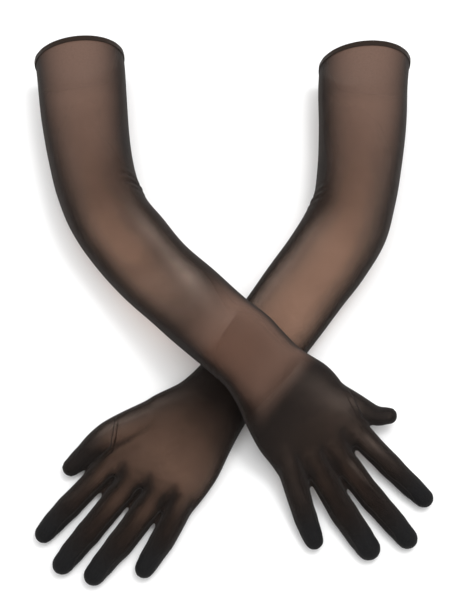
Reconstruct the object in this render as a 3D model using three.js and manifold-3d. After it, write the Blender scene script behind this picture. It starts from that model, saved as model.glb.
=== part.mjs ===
// A pair of opera-length gloves in sheer stretch mesh. They keep the filled-out shape they have
// when worn, and lie palms down on a flat surface with the right glove crossed over the left.
// Millimetres, +Z up, sleeves towards +Y, fingertips towards -Y.
import * as THREE from 'three';
import Module from 'manifold-3d';

const wasm = await Module();
wasm.setup();

// Cloth, seams and hem
const wall = 1.0; // the thickness every sheet of mesh is given
const clearance = 0.3; // gap between neighbouring pieces
const ridge = 1.2; // height of a sewn ridge
const proud = 0.3; // how far a ridge stands out of the cloth, inside and outside
const fourchetteWidth = 12;
const webShare = 0.55; // where the web stands between a finger's root and its knuckle
const tongueWidth = 4; // a fourchette's narrow end, which runs round the fingertip
const tongueLength = 14; // measured back from the fingertip
const hemDepth = 5; // folded welt, measured along the sleeve
const hemLeaf = 0.7; // one leaf of the welt
const elasticWidth = 1.9;
const squaring = 0.6; // how much squarer than an ellipse a flattened section is
const tuck = 1.8; // how far the sleeve reaches into the welt
const hemProud = clearance + hemLeaf; // outer leaf of the welt above the cloth

// Fineness of the faceted surfaces
const sleeveSides = 18;
const fingerSides = 8;
const capRings = [0.7, 0.93]; // share of a fingertip's radius at which its rings stand

// Reach of the cutters and of the hollow, which only have to pass clear of the cloth
const far = 400;
const hemRoom = 20;
const thumbRoom = 3;

// The seam line comes down to the fingertips' height a little before the shortest finger ends
const tipApproach = 10;
const tipRise = 1;

// Sections from hem to knuckles: x, y and z of the centre, half width, half height, and the
// direction of the width in degrees. The two hands are posed apart, so each has its own list.
const gloves = [
  {
    side: 'left',
    heading: -128,
    colour: 0x2c2320,
    sections: [
      [119.6, 203.5, 38, 38.8, 39, 2.5],
      [117.8, 187, 38, 38.4, 38, 2.5],
      [115.9, 146, 36, 37, 37, 1],
      [112, 106, 35, 35, 36, -3],
      [106.3, 74, 34, 33.9, 35, -9],
      [97.4, 50, 32.5, 35.3, 33.5, -18],
      [83.2, 26.3, 30.5, 34.9, 31.5, -27],
      [64.6, 1.5, 27.5, 34, 28.5, -33],
      [41, -30.8, 23, 33.2, 24, -37],
      [16.5, -63, 19.5, 30.8, 20.5, -38],
      [1, -81, 18, 28.5, 19, -39],
      [-12, -96, 16.5, 31, 17.5, -37],
      [-31.7, -114.3, 15.5, 39.6, 16.5, -33],
      [-46, -137, 14, 42.3, 15, -28],
      [-60, -155, 12, 43.5, 13, -25],
      [-63.5, -164.5, 10, 40.2, 8, -25],
    ],
    tipHeight: 8,
    thumb: {
      path: [[-57, -104.6], [-92.8, -120.2], [-113.2, -136], [-129, -150]],
      radii: [14.5, 12.6, 9.3, 7.2],
    },
    thumbSeam: { at: [-92, -134], normal: [-1, 0.15] },
    fingers: [
      {
        name: 'index',
        path: [[-82, -132], [-117.5, -169.6], [-132.9, -186.2], [-147.6, -203.4]],
        radii: [9.8, 9.5, 9, 7.5],
      },
      {
        name: 'middle',
        path: [[-67.5, -146], [-101.6, -189.2], [-117, -208.2], [-132.4, -228]],
        radii: [10.9, 10, 9.6, 8.2],
      },
      {
        name: 'ring',
        path: [[-47, -157], [-77.4, -198.6], [-92.6, -217.3], [-107.8, -236.6]],
        radii: [11.2, 10.7, 9.4, 8.2],
      },
      {
        name: 'little',
        path: [[-27.5, -157.8], [-46.8, -196.6], [-57.2, -213.8], [-67.4, -231.6]],
        radii: [10.6, 9.7, 8.8, 7.7],
      },
    ],
  },
  {
    side: 'right',
    heading: -52,
    colour: 0x38302c,
    sections: [
      [-127.5, 209, 38, 38, 36.8, 8],
      [-125.6, 195, 38, 37.7, 37.4, 7],
      [-121.2, 154, 36, 36.6, 37, 6],
      [-114.8, 114, 35, 34.7, 36, 9],
      [-107.7, 86, 35, 34, 36, 14],
      [-96.6, 60.4, 35, 33.8, 36, 24],
      [-79.2, 36.6, 34, 34.3, 34.5, 33],
      [-62.2, 14.6, 38, 33.2, 31, 38],
      [-33.7, -15.7, 49, 32.8, 28, 40],
      [-6.7, -44.7, 60.5, 31.9, 24.5, 42],
      [9.6, -59.5, 64, 32, 22.5, 43],
      [22.7, -72.3, 62, 31.2, 21, 43],
      [33.9, -84.3, 55, 33.3, 20, 41],
      [47.7, -96.4, 45, 39.8, 18.5, 36],
      [61.2, -113.7, 34, 42.3, 16.5, 31],
      [74.9, -130.5, 23, 42, 13.5, 28],
      [78.5, -140.8, 18, 39, 8, 27],
    ],
    tipHeight: 8,
    thumb: {
      path: [[66, -87.5], [97, -97.2], [117.5, -105], [136.6, -105.2]],
      radii: [13.4, 10.5, 8.2, 6.8],
    },
    thumbSeam: { at: [101, -98], normal: [0.88, 0.47] },
    fingers: [
      {
        name: 'index',
        path: [[92, -108.6], [122.7, -137], [142.4, -156.4], [161.4, -175]],
        radii: [11, 9.4, 8.9, 7.7],
      },
      {
        name: 'middle',
        path: [[78, -123], [107.9, -160.9], [127.3, -184.2], [146.6, -208]],
        radii: [11.3, 10, 9.7, 8.3],
      },
      {
        name: 'ring',
        path: [[62.5, -131.5], [86.6, -172.6], [101.2, -195], [116, -217.2]],
        radii: [10.8, 10.6, 10.5, 9.5],
      },
      {
        name: 'little',
        path: [[45.5, -133], [59.6, -178.4], [65.2, -194.6], [71, -210]],
        radii: [10.8, 9.2, 8.5, 7.4],
      },
    ],
  },
];

const up = new THREE.Vector3(0, 0, 1);
const plan = (degrees) => {
  const angle = THREE.MathUtils.degToRad(degrees);
  return new THREE.Vector3(Math.cos(angle), Math.sin(angle), 0);
};

// Solids --------------------------------------------------------------------------------------

// A closed body over rings of equal count, with a flat fan at each end.
function loft(rings) {
  const count = rings[0].length;
  const ends = [rings[0], rings.at(-1)];
  const centres = ends.map((ring) => {
    const sum = new THREE.Vector3();
    ring.forEach((point) => sum.add(point));
    return sum.divideScalar(count);
  });
  const points = [...rings.flat(), ...centres];
  const index = [];
  const last = (rings.length - 1) * count;
  for (let i = 0; i < count; i++) {
    const next = (i + 1) % count;
    for (let start = 0; start < last; start += count) {
      index.push(start + i, start + next, start + count + i);
      index.push(start + next, start + count + next, start + count + i);
    }
    index.push(points.length - 2, next, i);
    index.push(points.length - 1, last + i, last + next);
  }
  return solidOf(points.flatMap((p) => [p.x, p.y, p.z]), index);
}

function solidOf(coordinates, index) {
  const vertProperties = Float32Array.from(coordinates);
  const triVerts = Uint32Array.from(index);
  const mesh = new wasm.Mesh({ numProp: 3, vertProperties, triVerts });
  const solid = new wasm.Manifold(mesh);
  if (solid.volume() > 0) return solid;
  for (let i = 0; i < triVerts.length; i += 3) {
    [triVerts[i], triVerts[i + 1]] = [triVerts[i + 1], triVerts[i]];
  }
  return new wasm.Manifold(new wasm.Mesh({ numProp: 3, vertProperties, triVerts }));
}

// A prism over an outline, standing along the third column of the matrix.
function prism(outline, depth, matrix) {
  const ring = THREE.ShapeUtils.isClockWise(outline) ? [...outline].reverse() : outline;
  const faces = THREE.ShapeUtils.triangulateShape(ring, []);
  const corners = [0, depth].flatMap((level) =>
    ring.map((p) => new THREE.Vector3(p.x, p.y, level).applyMatrix4(matrix)));
  const count = ring.length;
  const index = faces.flatMap(([a, b, c]) => [a, c, b, a + count, b + count, c + count]);
  for (let i = 0; i < count; i++) {
    const next = (i + 1) % count;
    index.push(i, next, i + count);
    index.push(next, next + count, i + count);
  }
  return solidOf(corners.flatMap((p) => [p.x, p.y, p.z]), index);
}

function meshOf(name, solid, colour) {
  const { numProp, vertProperties, triVerts } = solid.getMesh();
  const positions = [];
  for (let i = 0; i < vertProperties.length; i += numProp) {
    positions.push(vertProperties[i], vertProperties[i + 1], vertProperties[i + 2]);
  }
  const geometry = new THREE.BufferGeometry();
  geometry.setAttribute('position', new THREE.Float32BufferAttribute(positions, 3));
  geometry.setIndex([...triVerts]);
  const material = new THREE.MeshStandardMaterial({ color: colour, roughness: 0.85, metalness: 0 });
  const mesh = new THREE.Mesh(geometry, material);
  mesh.name = name;
  return mesh;
}

const largest = (solid) => solid.decompose().sort((a, b) => b.volume() - a.volume())[0];

// One glove's shape ---------------------------------------------------------------------------

// One ring of points round a section. It widens by grow all round and is pressed flat where it
// meets the surface that the glove lies on.
function sectionRing(section, grow, lift, sides) {
  const [x, y, z, halfWidth, halfHeight, turn] = section;
  const across = plan(turn);
  const squareness = 2 + squaring * (1 - Math.min(1, halfHeight / halfWidth));
  const round = (value) => Math.sign(value) * Math.abs(value) ** (2 / squareness);
  return Array.from({ length: sides }, (_, i) => {
    const angle = (2 * Math.PI * i) / sides;
    const out = (halfWidth + grow) * round(Math.cos(angle));
    const rise = (halfHeight + grow) * round(Math.sin(angle));
    const point = new THREE.Vector3(x, y, 0).addScaledVector(across, out);
    return point.setZ(Math.max(z + rise, lift - grow));
  });
}

const mix = (a, b, share) => a.map((value, i) => THREE.MathUtils.lerp(value, b[i], share));

// The sleeve, wrist and palm. The welt makes the first two sections stand a little higher, and
// the last one moves with the cloth's thickness, so that the webs between the fingers are walls.
function armSolid(glove, grow, reach = 0) {
  const rings = glove.sections.map((section, i) =>
    sectionRing(section, grow, i < 2 ? hemProud : 0, sleeveSides));
  const forward = plan(glove.sections.at(-1)[5] - 90);
  rings.at(-1).forEach((point) => point.addScaledVector(forward, grow));
  if (reach > 0) {
    rings.unshift(sectionRing(alongHem(glove, -reach), grow, hemProud, sleeveSides));
  }
  return loft(rings);
}

// The section at a distance from the hem's edge, within the first pair of sections.
function alongHem(glove, distance) {
  const [first, second] = glove.sections;
  const length = Math.hypot(second[0] - first[0], second[1] - first[1]);
  return mix(first, second, distance / length);
}

// A length of sleeve near the hem, solid through.
function hemSolid(glove, grow, from, to) {
  return loft([from, to].map((distance) =>
    sectionRing(alongHem(glove, distance), grow, hemProud, sleeveSides)));
}

// Height of the seam line between the back and the palm, along the glove's heading.
function seamLine(glove) {
  const heading = plan(glove.heading);
  const line = glove.sections.map(([x, y, z]) => [heading.dot(new THREE.Vector3(x, y, 0)), z]);
  const tips = glove.fingers.map(({ path }) => {
    const [x, y] = path.at(-1);
    return heading.dot(new THREE.Vector3(x, y, 0));
  });
  line.push([Math.min(...tips) - tipApproach, glove.tipHeight + tipRise]);
  line.push([Math.max(...tips) + tipApproach, glove.tipHeight]);
  line.push([Math.max(...tips) + far, glove.tipHeight]);
  line.unshift([line[0][0] - far, line[0][1]]);
  return line;
}

function heightAt(glove, x, y) {
  const along = plan(glove.heading).dot(new THREE.Vector3(x, y, 0));
  const line = seamLine(glove);
  const next = Math.max(1, line.findIndex(([reach]) => reach >= along));
  const [[s0, z0], [s1, z1]] = [line[next - 1], line[next]];
  return THREE.MathUtils.mapLinear(along, s0, s1, z0, z1);
}

// A finger or thumb as a tapering tube with a round tip, lying on the seam line.
function fingerSolid(glove, { path, radii }, grow) {
  const points = path.map(([x, y]) => new THREE.Vector3(x, y, heightAt(glove, x, y)));
  const tipRadius = radii.at(-1);
  const tip = points.at(-1).clone();
  const inward = points.at(-2).clone().sub(tip).normalize();
  points[points.length - 1] = tip.clone().addScaledVector(inward, tipRadius);
  const curve = new THREE.CatmullRomCurve3(points, false, 'catmullrom', 0.5);
  const spans = points.length - 1;
  const rings = [];
  const addRing = (centre, tangent, radius) => {
    const across = new THREE.Vector3().crossVectors(up, tangent).normalize();
    const above = new THREE.Vector3().crossVectors(tangent, across);
    rings.push(Array.from({ length: fingerSides }, (_, i) => {
      const angle = (2 * Math.PI * i) / fingerSides;
      const point = centre.clone()
        .addScaledVector(across, radius * Math.cos(angle))
        .addScaledVector(above, radius * Math.sin(angle));
      return point.setZ(Math.max(point.z, -grow));
    }));
  };
  radii.forEach((radius, i) => {
    addRing(points[i], curve.getTangent(i / spans), radius + grow);
  });
  const outward = inward.clone().negate();
  for (const share of capRings) {
    const centre = points.at(-1).clone().addScaledVector(outward, (tipRadius + grow) * share);
    addRing(centre, outward, (tipRadius + grow) * Math.sqrt(1 - share * share));
  }
  return loft(rings);
}

// Everything the glove encloses, widened or narrowed all round.
function gloveSolid(glove, grow, reach = 0) {
  return [glove.thumb, ...glove.fingers]
    .map((finger) => fingerSolid(glove, finger, grow))
    .reduce((sum, finger) => sum.add(finger), armSolid(glove, grow, reach));
}

// Cutters -------------------------------------------------------------------------------------

// The layer of space between two heights above the seam line.
function layer(glove, low, high) {
  const line = seamLine(glove);
  const outline = [
    ...line.map(([along, z]) => new THREE.Vector2(along, z + low)),
    ...line.map(([along, z]) => new THREE.Vector2(along, z + high)).reverse(),
  ];
  const forward = plan(glove.heading);
  const sideways = new THREE.Vector3().crossVectors(forward, up);
  const matrix = new THREE.Matrix4().makeBasis(forward, up, sideways);
  matrix.setPosition(sideways.clone().multiplyScalar(-far));
  return prism(outline, 2 * far, matrix);
}

// The column of space between the centre lines of two neighbouring fingers, from their roots to
// a distance past their tips.
function fingerGap(first, second, margin, past) {
  const edge = ({ path }) => {
    const points = path.map(([x, y]) => new THREE.Vector2(x, y));
    const reach = points[1].clone().sub(points[0]);
    const start = points[0].clone().addScaledVector(reach, webShare + margin / reach.length());
    const tip = points.pop();
    const end = tip.clone().add(tip.clone().sub(points.at(-1)).setLength(past));
    return [start, ...points.slice(1), end];
  };
  const [one, two] = [edge(first), edge(second)];
  const moved = (from, to) => from.map((point, i) =>
    point.clone().add(to[i].clone().sub(point).setLength(margin)));
  const outline = [...moved(one, two), ...moved(two, one).reverse()];
  return prism(outline, 2 * far, new THREE.Matrix4().makeTranslation(0, 0, -far));
}

// The room a fourchette takes: a strip along both fingers and the web, then a narrow tongue.
function fourchetteRoom(glove, [first, second], margin, room) {
  const half = (width) => width / 2 + room;
  const strip = (width, past) => layer(glove, -half(width), half(width))
    .intersect(fingerGap(first, second, margin, past));
  return strip(fourchetteWidth, room - tongueLength).add(strip(tongueWidth, tongueLength));
}

// The space past a slanting plane at the thumb's root, from one distance to another.
function pastThumbSeam(glove, from, to) {
  const { at, normal } = glove.thumbSeam;
  const forward = new THREE.Vector3(...normal, 0).normalize();
  const sideways = new THREE.Vector3().crossVectors(up, forward);
  const matrix = new THREE.Matrix4().makeBasis(forward, sideways, up);
  matrix.setPosition(...at, -far);
  const outline = [[from, -far], [to, -far], [to, far], [from, far]]
    .map((corner) => new THREE.Vector2(...corner));
  return prism(outline, 2 * far, matrix);
}

// Pieces --------------------------------------------------------------------------------------

function glovePieces(glove) {
  const { fingers, thumb } = glove;
  const half = ridge / 2 + clearance;
  const shell = gloveSolid(glove, 0).subtract(gloveSolid(glove, -wall, hemRoom));
  const ridges = gloveSolid(glove, proud)
    .subtract(gloveSolid(glove, -wall - proud, hemRoom))
    .trimByPlane([0, 0, 1], 0);
  const thumbCloth = fingerSolid(glove, thumb, thumbRoom);
  const roomAtThumb = fingerSolid(glove, thumb, thumbRoom + clearance)
    .intersect(pastThumbSeam(glove, -half, far));
  const hemEdge = hemSolid(glove, hemRoom, -hemRoom, hemDepth - tuck);
  const weltZone = hemSolid(glove, hemRoom, -hemRoom, hemDepth + clearance);

  const pairs = fingers.slice(1).map((finger, i) => [fingers[i], finger]);
  const joined = (solids) => solids.reduce((sum, solid) => sum.add(solid));
  const gaps = joined(pairs.map(([a, b]) => fingerGap(a, b, 0, tongueLength)));
  const fourchettes = joined(pairs.map((two) => fourchetteRoom(glove, two, -clearance, clearance)));

  const sewn = shell.subtract(roomAtThumb).subtract(hemEdge).subtract(fourchettes);
  const seams = ridges
    .intersect(layer(glove, -ridge / 2, ridge / 2))
    .subtract(roomAtThumb)
    .subtract(weltZone)
    .subtract(gaps)
    .decompose()
    .sort((a, b) => b.volume() - a.volume());

  const thumbRidge = pastThumbSeam(glove, -ridge / 2, ridge / 2);
  const pieces = {
    back_panel: largest(sewn.intersect(layer(glove, half, far))),
    palm_panel: largest(sewn.intersect(layer(glove, -far, -half))),
    thumb: largest(shell.intersect(thumbCloth).intersect(pastThumbSeam(glove, half, far))),
    thumb_seam: largest(ridges.intersect(thumbCloth).intersect(thumbRidge)),
    outer_side_seam: seams[0],
    inner_side_seam: seams[1],
    index_side_seam: seams[2],
  };
  for (const [a, b] of pairs) {
    const room = fourchetteRoom(glove, [a, b], clearance, 0);
    pieces[`${a.name}_${b.name}_fourchette`] = largest(shell.intersect(room));
  }
  return { ...pieces, ...hemPieces(glove) };
}

// A closed band round the sleeve's opening, from a profile of [distance out of the cloth's outer
// face, distance from the hem's edge].
function hemBand(glove, profile) {
  const rings = profile.map(([grow, distance]) =>
    sectionRing(alongHem(glove, distance), grow, hemProud, sleeveSides));
  const index = [];
  for (let ring = 0; ring < rings.length; ring++) {
    for (let i = 0; i < sleeveSides; i++) {
      const [here, next] = [i, (i + 1) % sleeveSides].map((side) => ring * sleeveSides + side);
      const [above, aboveNext] = [here, next].map((at) =>
        (at + sleeveSides) % (rings.length * sleeveSides));
      index.push(here, next, above, next, aboveNext, above);
    }
  }
  return solidOf(rings.flat().flatMap((p) => [p.x, p.y, p.z]), index);
}

// The welt is folded round the elastic and takes the sleeve's edge between its two leaves.
function hemPieces(glove) {
  const innerLeaf = -wall - clearance;
  const start = hemLeaf + clearance;
  const welt = hemBand(glove, [
    [hemProud, 0],
    [hemProud, hemDepth],
    [clearance, hemDepth],
    [clearance, hemLeaf],
    [innerLeaf, hemLeaf],
    [innerLeaf, hemDepth],
    [innerLeaf - hemLeaf, hemDepth],
    [innerLeaf - hemLeaf, 0],
  ]);
  const elastic = hemBand(glove, [
    [0, start],
    [0, start + elasticWidth],
    [-wall, start + elasticWidth],
    [-wall, start],
  ]);
  return { hem_band: welt, hem_elastic: elastic };
}

const pair = new THREE.Group();
for (const glove of gloves) {
  for (const [name, solid] of Object.entries(glovePieces(glove))) {
    pair.add(meshOf(`${glove.side}_${name}`, solid, glove.colour));
  }
}

const bounds = new THREE.Box3().setFromObject(pair);
const middle = bounds.getCenter(new THREE.Vector3());
pair.position.set(-middle.x, -middle.y, -bounds.min.z);

export default pair;
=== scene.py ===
"""A pair of sheer opera gloves, filled out as when worn and crossed on a pale floor.

Each glove is one smooth surface, lofted through the same sections as its CAD solids, joined and
evened out by a voxel remesh, creased, and then cut along its seam lines into the pieces that a
glove is sewn from. Every piece is a closed sheet of real thickness.
"""
import math

import bmesh
import bpy
import numpy as np
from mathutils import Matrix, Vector


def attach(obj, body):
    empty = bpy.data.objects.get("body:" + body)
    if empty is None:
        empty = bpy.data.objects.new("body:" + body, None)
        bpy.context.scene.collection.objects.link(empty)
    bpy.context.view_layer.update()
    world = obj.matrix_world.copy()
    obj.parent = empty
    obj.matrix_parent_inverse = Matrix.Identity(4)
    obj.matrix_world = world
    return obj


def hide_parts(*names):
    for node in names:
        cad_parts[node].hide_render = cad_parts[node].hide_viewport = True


MM = 0.001
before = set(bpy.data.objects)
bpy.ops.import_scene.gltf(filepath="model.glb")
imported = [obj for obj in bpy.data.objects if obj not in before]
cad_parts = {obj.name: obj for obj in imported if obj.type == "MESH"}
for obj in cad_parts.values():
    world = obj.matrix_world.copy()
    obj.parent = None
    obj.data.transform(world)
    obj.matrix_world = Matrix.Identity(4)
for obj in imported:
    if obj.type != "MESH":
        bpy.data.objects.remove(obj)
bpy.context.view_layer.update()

# --------------------------------------------------------------------------------- dimensions
# All in millimetres until a mesh is made.
CLOTH = 0.35  # thickness of the knitted mesh
VOXEL = 1.8  # edge of the grid that the glove's surface is evened out on
FOURCHETTE = 6.0  # half width of the strips between the fingers
FOURCHETTE_TAPER = 14  # length over which a strip narrows to nothing at the fingertip
HEM_PROUD = 1.0  # outer leaf of the welt above the cloth
TUCK_FROM = 3.2  # the sleeve's edge inside the welt, from the hem's edge
SEAM_RADIUS = 0.42
TIP_APPROACH = 10.0  # how near the fingertips the seam line is down to their height
TIP_RISE = 1.0  # how far above that height it is just short of them
FAR = 400.0  # well past a glove's ends
STITCH_PITCH = 1.7
STITCH_ROWS = (1.7, 4.1)  # where the welt's stitches run, from the hem's edge
HEM_SIDES = 160
HEM_ROUND = 241.2  # length round the welt
HEM_GATHERS = 20
HEM_SLOPE = (14.0, 34.0)  # where the sleeve comes down from the welt's height to the floor

# Sections from hem to knuckles: x, y and z of the centre, half width, half height, and the
# direction of the width in degrees.
LEFT = {
    "side": "left",
    "heading": -128,
    "sections": [
        (119.6, 203.5, 38, 38.8, 39, 2.5),
        (117.8, 187, 38, 38.4, 38, 2.5),
        (115.9, 146, 36, 37, 37, 1),
        (112, 106, 35, 35, 36, -3),
        (106.3, 74, 34, 33.9, 35, -9),
        (97.4, 50, 32.5, 35.3, 33.5, -18),
        (83.2, 26.3, 30.5, 34.9, 31.5, -27),
        (64.6, 1.5, 27.5, 34, 28.5, -33),
        (41, -30.8, 23, 33.2, 24, -37),
        (16.5, -63, 19.5, 30.8, 20.5, -38),
        (1, -81, 18, 28.5, 19, -39),
        (-12, -96, 16.5, 31, 17.5, -37),
        (-31.7, -114.3, 15.5, 39.6, 16.5, -33),
        (-46, -137, 14, 42.3, 15, -28),
        (-60, -155, 12, 43.5, 13, -25),
        (-63.5, -164.5, 10, 40.2, 8, -25),
    ],
    "tip_height": 8,
    "thumb": (
        [(-57, -104.6), (-92.8, -120.2), (-113.2, -136), (-129, -150)],
        (14.5, 12.6, 9.3, 7.2),
    ),
    "thumb_seam": ((-92, -134), (-1, 0.15)),
    "fingers": {
        "index": (
            [(-82, -132), (-117.5, -169.6), (-132.9, -186.2), (-147.6, -203.4)],
            (9.8, 9.5, 9, 7.5),
        ),
        "middle": (
            [(-67.5, -146), (-101.6, -189.2), (-117, -208.2), (-132.4, -228)],
            (10.9, 10, 9.6, 8.2),
        ),
        "ring": (
            [(-47, -157), (-77.4, -198.6), (-92.6, -217.3), (-107.8, -236.6)],
            (11.2, 10.7, 9.4, 8.2),
        ),
        "little": (
            [(-27.5, -157.8), (-46.8, -196.6), (-57.2, -213.8), (-67.4, -231.6)],
            (10.6, 9.7, 8.8, 7.7),
        ),
    },
}
RIGHT = {
    "side": "right",
    "heading": -52,
    "sections": [
        (-127.5, 209, 38, 38, 36.8, 8),
        (-125.6, 195, 38, 37.7, 37.4, 7),
        (-121.2, 154, 36, 36.6, 37, 6),
        (-114.8, 114, 35, 34.7, 36, 9),
        (-107.7, 86, 35, 34, 36, 14),
        (-96.6, 60.4, 35, 33.8, 36, 24),
        (-79.2, 36.6, 34, 34.3, 34.5, 33),
        (-62.2, 14.6, 38, 33.2, 31, 38),
        (-33.7, -15.7, 49, 32.8, 28, 40),
        (-6.7, -44.7, 60.5, 31.9, 24.5, 42),
        (9.6, -59.5, 64, 32, 22.5, 43),
        (22.7, -72.3, 62, 31.2, 21, 43),
        (33.9, -84.3, 55, 33.3, 20, 41),
        (47.7, -96.4, 45, 39.8, 18.5, 36),
        (61.2, -113.7, 34, 42.3, 16.5, 31),
        (74.9, -130.5, 23, 42, 13.5, 28),
        (78.5, -140.8, 18, 39, 8, 27),
    ],
    "tip_height": 8,
    "thumb": (
        [(66, -87.5), (97, -97.2), (117.5, -105), (136.6, -105.2)],
        (13.4, 10.5, 8.2, 6.8),
    ),
    "thumb_seam": ((101, -98), (0.88, 0.47)),
    "fingers": {
        "index": (
            [(92, -108.6), (122.7, -137), (142.4, -156.4), (161.4, -175)],
            (11, 9.4, 8.9, 7.7),
        ),
        "middle": (
            [(78, -123), (107.9, -160.9), (127.3, -184.2), (146.6, -208)],
            (11.3, 10, 9.7, 8.3),
        ),
        "ring": (
            [(62.5, -131.5), (86.6, -172.6), (101.2, -195), (116, -217.2)],
            (10.8, 10.6, 10.5, 9.5),
        ),
        "little": (
            [(45.5, -133), (59.6, -178.4), (65.2, -194.6), (71, -210)],
            (10.8, 9.2, 8.5, 7.4),
        ),
    },
}

# Where the sections' own frame lies in the row's frame.
ROW_SHIFT = np.array((1.1122, 11.9316, 0.0))
MOUTH = 8.0  # how far the lofted sleeve runs on past the hem before it is cut off
ARM_SIDES = 96
FINGER_SIDES = 40
DIGIT_ROUND = 9.0  # radius at which the knit's wales are counted round a finger
ARM_ROUND = 36.0  # and round the arm
LEAST_PATCH = 60  # a patch of fewer faces than this isn't a piece of its own
SHORTEST_SEAM = 5.0
FILLED_WEBS = 8.0  # how far the rounding at a web reaches
FILLED_CROTCH = 13.0  # and between thumb and palm
KNUCKLES = [(0.45, 0.45), (0.78, 0.3)]  # place along a finger and swelling of its joints
SNAP = 0.22  # a surface point this near a seam line is taken to lie on it

# How close-knit the mesh looks at distances from the hem. The rise on the left glove up to
# 326 mm is a painted shadow of the right glove lying across its wrist; the rise along the right
# glove past 250 mm is painted shade on its forearm over the crossing and on its hand.
SLEEVE_COVER_AND_SHADE = {
    "left": [(0, -0.05), (60, -0.05), (110, 0), (250, 0), (285, 0.1), (310, 0.3), (326, 0.42),
             (345, 0.22), (370, 0.13), (395, 0.08), (425, 0.14)],
    "right": [(0, -0.03), (60, -0.03), (110, 0.05), (170, 0.02), (215, 0), (250, 0.03),
              (300, 0.11), (330, 0.17), (350, 0.21), (421, 0.21)],
}
# Shares of a finger's closeness, and the distances from its tip over which each is lost.
FINGER_COVER = [(0.2, 45.0, 75.0), (0.8, 10.0, 44.0)]
THUMB_COVER = {"left": 0.5, "right": 0.42}
THUMB_OPENS = (14.0, 50.0)
# How close-knit the mesh looks towards the mouth, and how much brown painted light lies on it,
# at distances from the hem measured in heights above the floor, so that both fade down the sides.
MOUTH_COVER = [(0, 0.85), (0.62, 0.85), (0.72, 0.5), (1.2, 0.4), (1.8, 0.18), (2.4, 0.06), (3, 0)]
MOUTH_PAINTED_LIGHT = [(0, 0.72), (0.62, 0.72), (0.8, 0.9), (1.2, 0.85), (1.8, 0.6), (2.4, 0.3), (3.2, 0)]
MOUTH_HEIGHTS = (52.0, 78.0)  # from the sleeve's lower side, where neither shows, to its upper
# Where painted shade darkens the inside of each elbow, in plan.
ELBOW_SHADE_AT = {"left": (74.0, 99.0), "right": (-84.0, 123.0)}
ELBOW_SHADE, ELBOW_SHADE_SIZE = 0.3, 18.0
WEB_SHADE, WEB_SHADE_SIZE = 0.22, 4.2  # painted shade in the webs between the fingers too
BESIDE_CROSSING_SHADE = 0.2  # painted shade on the upper glove just beside the lower one
# Two points in plan on the middle of the arm that the right glove crosses.
CROSSED_ARM = np.array(((16.0, -77.0), (1.0, -95.0)))
BROWN_TO_ARM, BROWN_TO_HAND = (18.0, 80.0), (18.0, 42.0)  # how the brown painted light fades on either side of that
# Wave packets pressed into the cloth where the arm bends: distance from the hem, bearing round
# the sleeve, drift along the sleeve per radian, reach round it, wavelength, height, half length.
CREASES = {
    "left": [(143, 172, 6, 34, 8.5, 1.0, 11), (262, 8, -5, 40, 7.0, 0.35, 9)],
    "right": [(140, 12, -6, 34, 8.5, 1.0, 11), (318, 175, 5, 40, 7.0, 0.35, 9)],
}


def clamp01(value):
    return np.clip(value, 0.0, 1.0)


def ease(low, high, value):
    share = clamp01((value - low) / (high - low))
    return share * share * (3 - 2 * share)


def unit_rows(rows):
    return rows / np.linalg.norm(rows, axis=1)[:, None]


def reach_along(points):
    """Distance along a line of points from its first to each of them."""
    steps = np.linalg.norm(np.diff(points, axis=0), axis=1)
    return np.concatenate([[0.0], np.cumsum(steps)])


def place_object(name, data):
    thing = bpy.data.objects.new(name, data)
    bpy.context.collection.objects.link(thing)
    return thing


# ------------------------------------------------------------------------------ curves and rings
def plan(degrees):
    angle = math.radians(degrees)
    return np.array((math.cos(angle), math.sin(angle), 0.0))


def smooth_rows(rows, step):
    """Rows of numbers along a line, joined by a smooth curve and sampled about every step."""
    rows = np.array(rows, float)
    gaps = np.linalg.norm(np.diff(rows[:, :2], axis=0), axis=1)
    slopes = np.diff(rows, axis=0) / gaps[:, None]
    tangents = np.vstack([slopes[:1], slopes])
    for i in range(1, len(rows) - 1):
        before, after = gaps[i - 1], gaps[i]
        tangents[i] = (slopes[i - 1] * after + slopes[i] * before) / (before + after)
    found = []
    for i, gap in enumerate(gaps):
        count = max(1, round(gap / step))
        for k in range(count):
            t = k / count
            found.append(
                (2 * t**3 - 3 * t**2 + 1) * rows[i]
                + (t**3 - 2 * t**2 + t) * gap * tangents[i]
                + (3 * t**2 - 2 * t**3) * rows[i + 1]
                + (t**3 - t**2) * gap * tangents[i + 1]
            )
    found.append(rows[-1])
    return np.array(found)


def section_ring(section, grow, lift, sides):
    x, y, z, half_width, half_height, turn = section
    squareness = 2 + 0.6 * (1 - min(1.0, half_height / half_width))
    angles = 2 * np.pi * np.arange(sides) / sides
    across, rise = np.cos(angles), np.sin(angles)
    across = np.sign(across) * np.abs(across) ** (2 / squareness)
    rise = np.sign(rise) * np.abs(rise) ** (2 / squareness)
    ring = np.array((x, y, 0.0)) + (half_width + grow) * across[:, None] * plan(turn)
    ring[:, 2] = np.maximum(z + (half_height + grow) * rise, lift - grow)
    return ring


def round_ring(centre, tangent, radius, sides):
    tangent = tangent / np.linalg.norm(tangent)
    across = np.cross((0.0, 0.0, 1.0), tangent)
    if np.linalg.norm(across) < 1e-6:
        across = np.array((1.0, 0.0, 0.0))
    across /= np.linalg.norm(across)
    above = np.cross(tangent, across)
    angles = 2 * np.pi * np.arange(sides) / sides
    return centre + radius * (
        np.cos(angles)[:, None] * across + np.sin(angles)[:, None] * above
    )


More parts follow.
